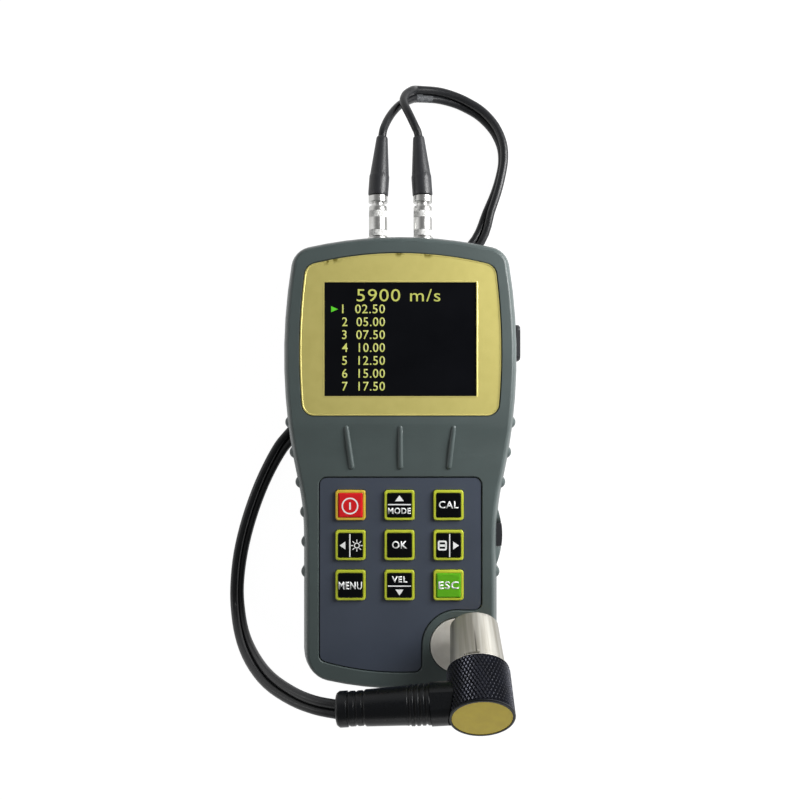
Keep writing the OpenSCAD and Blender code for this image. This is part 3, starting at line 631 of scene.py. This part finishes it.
# %% Turned and moulded pieces that keep their CAD shape
smooth_shell("test_disc", steel_ground, edge=0.25)
smooth_shell("data_port_cover", rubber_black, edge=0.5, body="data_port_cover")
smooth_shell("charge_port_plug", rubber_black, edge=0.3, body="charge_port_plug")
smooth_shell("probe_nose", steel_nose)
smooth_shell("probe_gland", overmould_black, edge=0.35)
smooth_shell("probe_boot", overmould_black, angle=40, edge=0.18)
smooth_shell("probe_label", label_brass, edge=0.08)
for side in ("left", "right"):
    smooth_shell("plug_boot_" + side, rubber_black, angle=40)
    smooth_shell("plug_core_" + side, nickel)
    smooth_shell("socket_" + side, nickel, edge=0.1)
smooth_shell("case_screws", tin_grey, edge=0.08)

# %% Pieces inside the case
INSIDE = {
    "lcd_module": tin_grey, "key_domes": tin_grey, "main_board": board_green, "board_screws": tin_grey,
    "battery_pack": cell_blue, "buzzer": rubber_black, "data_port": tin_grey, "charge_port": tin_grey,
    "probe_delay_left": delay_amber, "probe_delay_right": delay_amber, "probe_barrier": barrier_cork,
}
for name, finish in INSIDE.items():
    nodes[name].data.materials.clear()
    nodes[name].data.materials.append(finish)
print("inside pieces:", len(INSIDE))

# %% [markdown]
# ## Keys
# Each key is a lime silicone cap with a glossy printed field standing up inside its rim. Both are
# cubes whose upright edges are rounded. The cap's top is drawn in to a rim with a groove inside it, and
# the field's top to a low dome. The blank is copied to the nine places, and each copy rides
# on its own key's body.

# %% One key blank
KEY_SIDE = 9.7
KEY_PITCH = (15.8, 12.9)
KEY_X = -0.3
KEY_ROW_Y = -26.2
KEY_TOP = 33.0
KEY_CORNER = 0.9
# inset and rise of each step of a top, in millimetres: the cap's rim with its groove, then the field
CAP_STEPS = [(0.1, 0.13), (0.12, 0.05), (0.5, 0.0), (0.06, -0.05), (0.04, -0.1)]
FIELD_STEPS = [(0.12, 0.14), (0.25, 0.1), (0.3, 0.04)]
CAP_TOP = -0.48
FIELD_SIDE = 7.9
FIELD_TOP = -0.28
FIELD_CORNER = 0.35
CAP_DEPTH = 3.0
FIELD_DEPTH = 1.2


def rounded_block(side, corner, top, depth, steps):
    """A square block with rounded upright edges, whose top is drawn in by the steps."""
    bpy.ops.object.select_all(action="DESELECT")
    bpy.ops.mesh.primitive_cube_add(size=1.0)
    block = bpy.context.object
    bpy.ops.object.mode_set(mode="EDIT")
    bpy.ops.transform.resize(value=(side * MM, side * MM, depth * MM))
    bpy.ops.transform.translate(value=(0, 0, (top - depth / 2) * MM))
    bpy.ops.mesh.select_all(action="DESELECT")
    shape = bmesh.from_edit_mesh(block.data)
    for edge in shape.edges:
        a, b = edge.verts
        if abs(a.co.z - b.co.z) > 0.5 * depth * MM:
            edge.select_set(True)
    bmesh.update_edit_mesh(block.data)
    bpy.ops.mesh.bevel(offset=corner * MM, segments=6, affect="EDGES")
    pick_faces(block, lambda centre, normal: normal.z > 0.9)
    for inset, rise in steps:
        bpy.ops.mesh.extrude_region_move(TRANSFORM_OT_translate={"value": (0, 0, rise * MM)})
        shrink = 1 - 2 * inset / side
        bpy.ops.transform.resize(value=(shrink, shrink, 1))
        side -= 2 * inset
    bpy.ops.object.mode_set(mode="OBJECT")
    bpy.ops.object.shade_smooth_by_angle(angle=math.radians(50))
    return block


def key_blank():
    """The cap and field of a key round the origin, with the field's top at height zero."""
    cap = rounded_block(KEY_SIDE, KEY_CORNER, CAP_TOP, CAP_DEPTH, CAP_STEPS)
    field = rounded_block(FIELD_SIDE, FIELD_CORNER, FIELD_TOP, FIELD_DEPTH, FIELD_STEPS)
    cap.data.materials.append(key_lime)
    field.data.materials.append(field_black)
    blank = join_all([cap, field])
    weigh_normals(blank)
    return blank


blank = key_blank()
print("key blank faces", len(blank.data.polygons))

# %% Nine caps
KEYS = {
    "key_power": (-1, 1), "key_up": (0, 1), "key_cal": (1, 1),
    "key_left": (-1, 0), "key_ok": (0, 0), "key_right": (1, 0),
    "key_menu": (-1, -1), "key_down": (0, -1), "key_back": (1, -1),
}
FIELDS = {"key_power": field_red, "key_back": field_green}
CAPS = {"key_power": key_amber}


def key_centre(name):
    """The middle of a key's top, in millimetres."""
    column, row = KEYS[name]
    return Vector((KEY_X + column * KEY_PITCH[0], KEY_ROW_Y + row * KEY_PITCH[1], KEY_TOP))


for name in KEYS:
    cap = link_new(name + "_cap", blank.data.copy())
    cap.data.transform(Matrix.Translation(key_centre(name) * MM))
    cap.data.materials[0] = CAPS.get(name, key_lime)
    cap.data.materials[1] = FIELDS.get(name, field_black)
    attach(cap, name)
    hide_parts(name)
    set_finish(cap, {"key_power": "red_key", "key_back": "green_key"}.get(name, "lime_key"))
bpy.data.objects.remove(blank)
print("caps at", [tuple(round(c, 1) for c in key_centre(name)) for name in KEYS][:3], "and six more")

# %% [markdown]
# ## Signs on the keys
# The signs are white print: plain words, arrows, a lamp, a store sign and the on-off ring. On the real
# key they lie just under the clear epoxy. Here each is cut from flat primitives and text, laid a
# hundredth of a millimetre above its field, and joined into one thin plate per key. Text is made a
# mesh before it is placed.

# %% White print
print_white, tree, shader, place = start_material("white_screen_ink")
specks = add(tree, "ShaderNodeTexNoise", {"Scale": 1 / (0.5 * MM)}, {"Vector": place})
inked = add(tree, "ShaderNodeMix", {"data_type": "RGBA", 6: tint("#fafbfa"), 7: tint("#eff0ef")},
            {0: specks.outputs["Fac"]})
tree.links.new(inked.outputs[2], shader.inputs["Base Color"])
shader.inputs["Roughness"].default_value = 0.3
SIGN_LIFT = 0.012
SIGN_THICK = 0.02


def flat_word(text, at, width, height, weight=0.02):
    """A word as a flat mesh of that width and cap height in millimetres, centred on a point."""
    bpy.ops.object.select_all(action="DESELECT")
    bpy.ops.object.text_add()
    piece = bpy.context.object
    piece.data.body = text
    piece.data.size = 1.0
    piece.data.offset = weight
    piece.data.space_character = 1.1
    piece.data.resolution_u = 4
    bpy.ops.object.convert(target="MESH")
    piece = bpy.context.object
    xs = [v.co.x for v in piece.data.vertices]
    ys = [v.co.y for v in piece.data.vertices]
    middle = Vector(((min(xs) + max(xs)) / 2, (min(ys) + max(ys)) / 2, 0))
    grow = Matrix.Diagonal((width / (max(xs) - min(xs)) * MM, height / (max(ys) - min(ys)) * MM, 1, 1))
    piece.data.transform(Matrix.Translation(Vector(at) * MM) @ grow @ Matrix.Translation(-middle))
    return piece


def flat_shape(corners, at, radius, turn=0.0, stretch=(1.0, 1.0)):
    """A filled polygon, such as an arrow of three corners or a bar of four."""
    bpy.ops.object.select_all(action="DESELECT")
    bpy.ops.mesh.primitive_circle_add(vertices=corners, radius=radius * MM, fill_type="NGON")
    piece = bpy.context.object
    spin = Matrix.Rotation(math.radians(turn), 4, "Z")
    grow = Matrix.Diagonal((stretch[0], stretch[1], 1, 1))
    piece.data.transform(Matrix.Translation(Vector(at) * MM) @ grow @ spin)
    return piece


def flat_ring(at, outer, inner, corners=40):
    """A ring cut from a disc by an inset, with its middle deleted."""
    piece = flat_shape(corners, at, outer)
    bpy.ops.object.mode_set(mode="EDIT")
    bpy.ops.mesh.select_all(action="SELECT")
    bpy.ops.mesh.inset(thickness=(outer - inner) * MM)
    bpy.ops.mesh.delete(type="FACE")
    bpy.ops.object.mode_set(mode="OBJECT")
    return piece


def flat_bar(at, width, height, turn=0.0):
    """A filled bar of that size in millimetres, centred on a point."""
    bpy.ops.object.select_all(action="DESELECT")
    bpy.ops.mesh.primitive_plane_add(size=1.0)
    piece = bpy.context.object
    grow = Matrix.Diagonal((width * MM, height * MM, 1, 1))
    spin = Matrix.Rotation(math.radians(turn), 4, "Z")
    piece.data.transform(Matrix.Translation(Vector(at) * MM) @ spin @ grow)
    return piece


def sign(name, pieces, at, body, ink, slot_name):
    """Joins flat pieces into one thin plate at a place, and lets it ride."""
    plate = join_all(pieces)
    plate.name = name
    plate.matrix_world = Matrix.Identity(4)
    plate.data.transform(Matrix.Translation(Vector(at) * MM))
    thick = plate.modifiers.new("thick", "SOLIDIFY")
    thick.thickness = SIGN_THICK * MM
    thick.offset = 1.0
    bpy.ops.object.modifier_apply(modifier=thick.name)
    plate.data.materials.clear()
    plate.data.materials.append(ink)
    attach(plate, body)
    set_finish(plate, slot_name)
    return plate


# %% Draw the signs
# Sizes are in millimetres from the middle of each field
lamp_rays = [
    flat_bar((2.1 + 1.55 * math.cos(a), 1.55 * math.sin(a), 0), 0.75, 0.3, math.degrees(a))
    for a in [i * math.pi / 4 for i in range(8)]
]
store_case = flat_bar((-2.0, 0, 0), 2.9, 3.2)
bpy.ops.object.mode_set(mode="EDIT")
bpy.ops.mesh.select_all(action="SELECT")
bpy.ops.mesh.bevel(offset=0.6 * MM, segments=4, affect="VERTICES")
bpy.ops.mesh.inset(thickness=0.55 * MM)
bpy.ops.mesh.delete(type="FACE")
bpy.ops.object.mode_set(mode="OBJECT")
SIGNS = {
    "key_power": [flat_ring((-0.1, -0.2, 0), 2.7, 2.25), flat_bar((-0.1, -0.2, 0), 0.55, 2.3)],
    "key_up": [flat_shape(3, (0, 2.0, 0), 1.35, 0, (1.2, 0.95)), flat_bar((0, 0.25, 0), 7.4, 0.36),
               flat_word("MODE", (0, -1.75, 0), 7.3, 2.0)],
    "key_cal": [flat_word("CAL", (0, 0.2, 0), 6.3, 2.4)],
    "key_left": [flat_shape(3, (-2.2, 0, 0), 1.3, 90, (0.95, 1.15)), flat_bar((-0.15, 0, 0), 0.42, 7.4),
                 flat_ring((2.1, 0, 0), 0.95, 0.62)] + lamp_rays,
    "key_ok": [flat_word("OK", (0, 0.2, 0), 4.8, 2.45)],
    "key_right": [store_case, flat_bar((-2.0, 0.0, 0), 2.2, 0.75), flat_bar((0.35, 0, 0), 0.36, 7.4),
                  flat_shape(3, (2.1, 0, 0), 1.3, -90, (0.95, 1.15))],
    "key_menu": [flat_word("MENU", (0, 0, 0), 7.5, 2.5)],
    "key_down": [flat_word("VEL", (0, 2.0, 0), 5.0, 2.05), flat_bar((0, -0.15, 0), 7.4, 0.36),
                 flat_shape(3, (0, -1.9, 0), 1.35, 180, (1.1, 0.95))],
    "key_back": [flat_word("ESC", (0, 0.1, 0), 6.6, 2.5)],
}
for name, pieces in SIGNS.items():
    at = key_centre(name) + Vector((0, 0, SIGN_LIFT))
    sign(name + "_sign", pieces, at, name, print_white, "lime_key")
print("signs:", len(SIGNS))

# %% [markdown]
# ## The screen
# The panel is black glass behind the bezel, and it shows a list in yellow-green. The glass is opaque
# black with little reflection of its own, so the lit figures stand out. The figures are plain sample
# readings, laid on the glass as thin plates that glow.

# %% Glass and lit figures
panel_glass, tree, shader, place = start_material("black_panel_glass")
haze = add(tree, "ShaderNodeTexNoise", {"Scale": 1 / (12 * MM), "Detail": 3.0}, {"Vector": place})
dusky = add(tree, "ShaderNodeMix", {"data_type": "RGBA", 6: tint("#040508"), 7: tint("#0d0e12")},
            {0: haze.outputs["Fac"]})
smear = add(tree, "ShaderNodeMapRange", {1: 0.3, 2: 0.7, 3: 0.06, 4: 0.16}, {0: haze.outputs["Fac"]})
tree.links.new(dusky.outputs[2], shader.inputs["Base Color"])
tree.links.new(smear.outputs[0], shader.inputs["Roughness"])
shader.inputs["Specular IOR Level"].default_value = 0.1
smooth_shell("screen_window", panel_glass, edge=0.1)


def lit(name, colour):
    """Backlit figures: dark when off, so the base is dark and the colour is emitted."""
    material, tree, shader, place = start_material(name)
    grid = add(tree, "ShaderNodeTexNoise", {"Scale": 1 / (0.9 * MM)}, {"Vector": place})
    power = add(tree, "ShaderNodeMapRange", {1: 0.3, 2: 0.7, 3: 0.72, 4: 1.0}, {0: grid.outputs["Fac"]})
    tree.links.new(power.outputs[0], shader.inputs["Emission Strength"])
    shader.inputs["Base Color"].default_value = tint("#101208")
    shader.inputs["Emission Color"].default_value = tint(colour)
    shader.inputs["Roughness"].default_value = 0.3
    return material


lit_yellow = lit("lit_yellow_pixels", "#cfd46a")
lit_green = lit("lit_green_pixels", "#5fdc2a")
GLASS_TOP = 32.2
# the title's words, middle, width and height, then the place, pitch and size of the rows below it
TITLE = ("5900 m/s", (-0.6, 54.4, 0), 27.0, 4.0)
ROW_AT = (-11.9, 50.0)
ROW_PITCH = 4.16
ROW_SIZE = (13.8, 2.9)
ROWS = 7
CURSOR_AT = (-21.6, 49.9, 0)
figures = [flat_word(*TITLE, 0.0)]
for i in range(ROWS):
    reading = "%d  %05.2f" % (i + 1, 2.5 * (i + 1))
    figures.append(flat_word(reading, (ROW_AT[0], ROW_AT[1] - i * ROW_PITCH, 0), *ROW_SIZE, 0.005))
lift = Vector((0, 0, GLASS_TOP + SIGN_LIFT))
sign("screen_figures", figures, lift, GAUGE, lit_yellow, "screen_glass")
cursor = flat_shape(3, CURSOR_AT, 1.35, -90, (1.1, 0.85))
sign("screen_cursor", [cursor], lift, GAUGE, lit_green, "screen_glass")
print("lines of figures:", len(figures))

# %% [markdown]
# ## Knurls
# A diamond knurl is pressed by two wheels with slanted ridges, so it is a net of low pyramids. The
# net is wrapped round the cylinder as diamond faces first, and then every diamond is inset and raised
# by itself. The same net, much finer, is on the plugs' sleeves.


# %% Lathe and knurl tools
# the inner wall of a knurled band, as a share of its radius
BAND_WALL = 0.98


def lathe(name, profile, steps=72):
    """Spins a closed profile of (radius, height) in millimetres round the Z axis."""
    mesh = bpy.data.meshes.new(name)
    count = len(profile)
    corners = [(r * MM, 0, z * MM) for r, z in profile]
    mesh.from_pydata(corners, [(i, (i + 1) % count) for i in range(count)], [])
    piece = link_new(name, mesh)
    activate(piece)
    bpy.ops.object.mode_set(mode="EDIT")
    bpy.ops.mesh.select_all(action="SELECT")
    bpy.ops.mesh.spin(steps=steps, angle=2 * math.pi, center=(0, 0, 0), axis=(0, 0, 1))
    bpy.ops.mesh.select_all(action="SELECT")
    bpy.ops.mesh.remove_doubles(threshold=0.002 * MM)
    bpy.ops.mesh.normals_make_consistent(inside=False)
    bpy.ops.object.mode_set(mode="OBJECT")
    bpy.ops.object.shade_smooth_by_angle(angle=math.radians(35))
    weigh_normals(piece)
    return piece


def knurl(name, radius, z0, z1, around, rows, inset, rise):
    """A band of raised diamonds round the Z axis, with half diamonds along both its rims."""
    shape = bmesh.new()
    corner = {}
    for row in range(rows + 1):
        for k in range(2 * around):
            if (k + row) % 2 == 0:
                a = math.pi * k / around
                z = z0 + (z1 - z0) * row / rows
                spot = Vector((radius * math.cos(a), radius * math.sin(a), z))
                corner[k, row] = shape.verts.new(spot * MM)
    for row in range(rows + 1):
        for k in range(2 * around):
            if (k + row) % 2:
                before, after = (k - 1) % (2 * around), (k + 1) % (2 * around)
                ring = [(before, row), (k, row - 1), (after, row), (k, row + 1)]
                shape.faces.new([corner[c] for c in ring if c in corner])
    mesh = bpy.data.meshes.new(name)
    shape.to_mesh(mesh)
    shape.free()
    piece = link_new(name, mesh)
    activate(piece)
    bpy.ops.object.mode_set(mode="EDIT")
    bpy.ops.mesh.select_all(action="SELECT")
    bpy.ops.mesh.inset(thickness=inset * MM, depth=rise * MM, use_individual=True)
    # both open rims turn inwards and meet in a wall, which makes the net a closed band
    bpy.ops.mesh.select_all(action="DESELECT")
    shape = bmesh.from_edit_mesh(piece.data)
    for edge in shape.edges:
        if edge.is_boundary:
            edge.select_set(True)
    bmesh.update_edit_mesh(piece.data)
    bpy.ops.mesh.extrude_edges_move()
    bpy.ops.transform.resize(value=(BAND_WALL, BAND_WALL, 1))
    bpy.ops.mesh.bridge_edge_loops()
    bpy.ops.object.mode_set(mode="OBJECT")
    return piece


def joined(name, pieces, place, finish, body, *replaced):
    """Joins turned pieces into one, moves it from its own axis to its place and lets it ride."""
    whole = join_all(pieces)
    whole.name = name
    whole.data.transform(place)
    whole.data.materials.clear()
    whole.data.materials.append(finish)
    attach(whole, body)
    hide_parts(*replaced)
    return whole


# %% The probe's grip
PROBE_AT = (23.3, -51.111, 36.979)
GRIP_FROM = 15.52
GRIP_END = 31.0
lean = Matrix.Rotation(math.radians(PROBE_LEAN), 4, "X")
probe_place = Matrix.Translation(Vector(PROBE_AT) * MM) @ lean
grip_core = lathe("grip_core", [
    (7.14, 16.0), (9.4, 16.0), (9.4, 16.1), (9.15, 16.15), (9.15, 30.35), (9.5, 30.42), (9.6, 30.7),
    (9.4, GRIP_END), (8.8, GRIP_END), (8.8, 30.6), (0.02, 30.6), (0.02, 29.3), (7.3, 29.3), (7.3, 18.4),
    (7.14, 18.4),
], 96)
grip_knurl = knurl("grip_knurl", 9.17, 16.1, 30.4, 52, 14, 0.33, 0.42)
grip = joined("knurled_grip", [grip_core, grip_knurl], probe_place, knurl_black, GAUGE, "probe_grip")
# the flat rim round the end plate is darker than the knurl, in the black of the overmould
RIM_FROM = 30.6
grip.data.materials.append(overmould_black)
to_probe = probe_place.inverted()
for face in grip.data.polygons:
    if (to_probe @ face.center).z > RIM_FROM * MM:
        face.material_index = 1
# the first half millimetre is a bright chamfer, cut after the anodising
rim = lathe("grip_rim", [(7.14, GRIP_FROM), (8.9, GRIP_FROM), (9.42, 15.9), (9.42, 16.0), (7.14, 16.0)], 96)
joined("grip_bright_rim", [rim], probe_place, steel_turned, GAUGE, "probe_grip")
print("grip faces", len(grip.data.polygons))

# %% The strain relief's core
# The real grooves between the ribs are shallower than the CAD's, so a plain core fills them part way
GLAND_AT = 25.5
GLAND_ROLL = 6.0
gland_place = (probe_place @ Matrix.Translation((0, 0, GLAND_AT * MM))
               @ Matrix.Rotation(math.radians(GLAND_ROLL), 4, "Z") @ Matrix.Rotation(-math.pi / 2, 4, "Y"))
RELIEF_PROFILE = [(0.02, 14.6), (5.42, 14.6), (5.37, 22.0), (4.62, 33.6), (4.62, 39.0), (0.02, 39.0)]
core = lathe("relief_core", RELIEF_PROFILE, 64)
joined("relief_core", [core], gland_place, overmould_black, GAUGE, "probe_boot")

# %% The plugs' sleeves and back nuts
SOCKET_X = 7.55
SOCKET_Z = 19.5
SLEEVE_PROFILE = [
    (2.35, 75.9), (3.0, 75.9), (3.04, 76.0), (3.04, 77.9), (3.12, 78.0), (3.15, 78.1), (3.15, 82.1),
    (3.12, 82.2), (3.04, 82.3), (3.04, 84.4), (3.12, 84.5), (3.12, 85.8), (2.95, 86.1), (2.35, 86.1),
]
SLEEVE_BANDS = ((76.0, 77.95), (82.25, 84.45))
NUT_PROFILE = [(2.03, 87.4), (3.1, 87.4), (3.25, 87.6), (3.25, 89.5), (3.15, 89.6), (2.03, 89.6)]
across = Matrix.Rotation(-math.pi / 2, 4, "X")
for side, sign_x in (("left", -1), ("right", 1)):
    sleeve = "plug_sleeve_" + side
    place = Matrix.Translation(Vector((sign_x * SOCKET_X, 0, SOCKET_Z)) * MM) @ across
    tube = lathe("sleeve_tube", SLEEVE_PROFILE, 64)
    bands = [knurl("sleeve_band", 3.05, low, high, 44, 8, 0.1, 0.05) for low, high in SLEEVE_BANDS]
    joined(sleeve + "_skin", [tube], place, nickel, sleeve, sleeve)
    joined(sleeve + "_knurl", bands, place, nickel_matt, sleeve, sleeve)
    nut = lathe("nut", NUT_PROFILE, 64)
    joined("plug_nut_%s_skin" % side, [nut], place, nickel, GAUGE, "plug_nut_" + side)
print("sleeves and nuts made")

# %% [markdown]
# ## The lead's plugs
# For each branch the pieces of its plug are gathered in a list: boot, nut, core, sleeve and the sleeve's
# knurl. The pair leaves the probe's strain relief. Each branch leaves the pair and ends in its plug.

# %% Cords
for piece, points, side in ((left_branch, left_points, "left"), (right_branch, right_points, "right")):
    plug_parts = ("boot", "nut", "core", "sleeve")
    on_it = [bpy.data.objects["plug_%s_%s_skin" % (part, side)] for part in plug_parts]
    on_it.append(bpy.data.objects["plug_sleeve_%s_knurl" % side])

# %% Slots of the record
SLOTS = {
    shell_grey: "grey_plastic", gold_anodised: "gold_panel", panel_glass: "screen_glass",
    film_slate: "film_plastic", steel_turned: "steel", steel_nose: "steel", steel_ground: "steel",
    nickel: "nickel", nickel_matt: "nickel", tin_grey: "inner_metal", rubber_black: "black_rubber",
    overmould_black: "black_plastic", label_brass: "label_gold", cable_pvc: "black_plastic",
    knurl_black: "black_aluminium",
}
for piece in [o for o in bpy.data.objects if o.type in {"MESH", "CURVE"} and "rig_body" in o]:
    finish = piece.data.materials[0] if piece.data.materials else None
    if finish in SLOTS and "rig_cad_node" not in piece and "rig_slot" not in piece:
        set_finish(piece, SLOTS[finish])
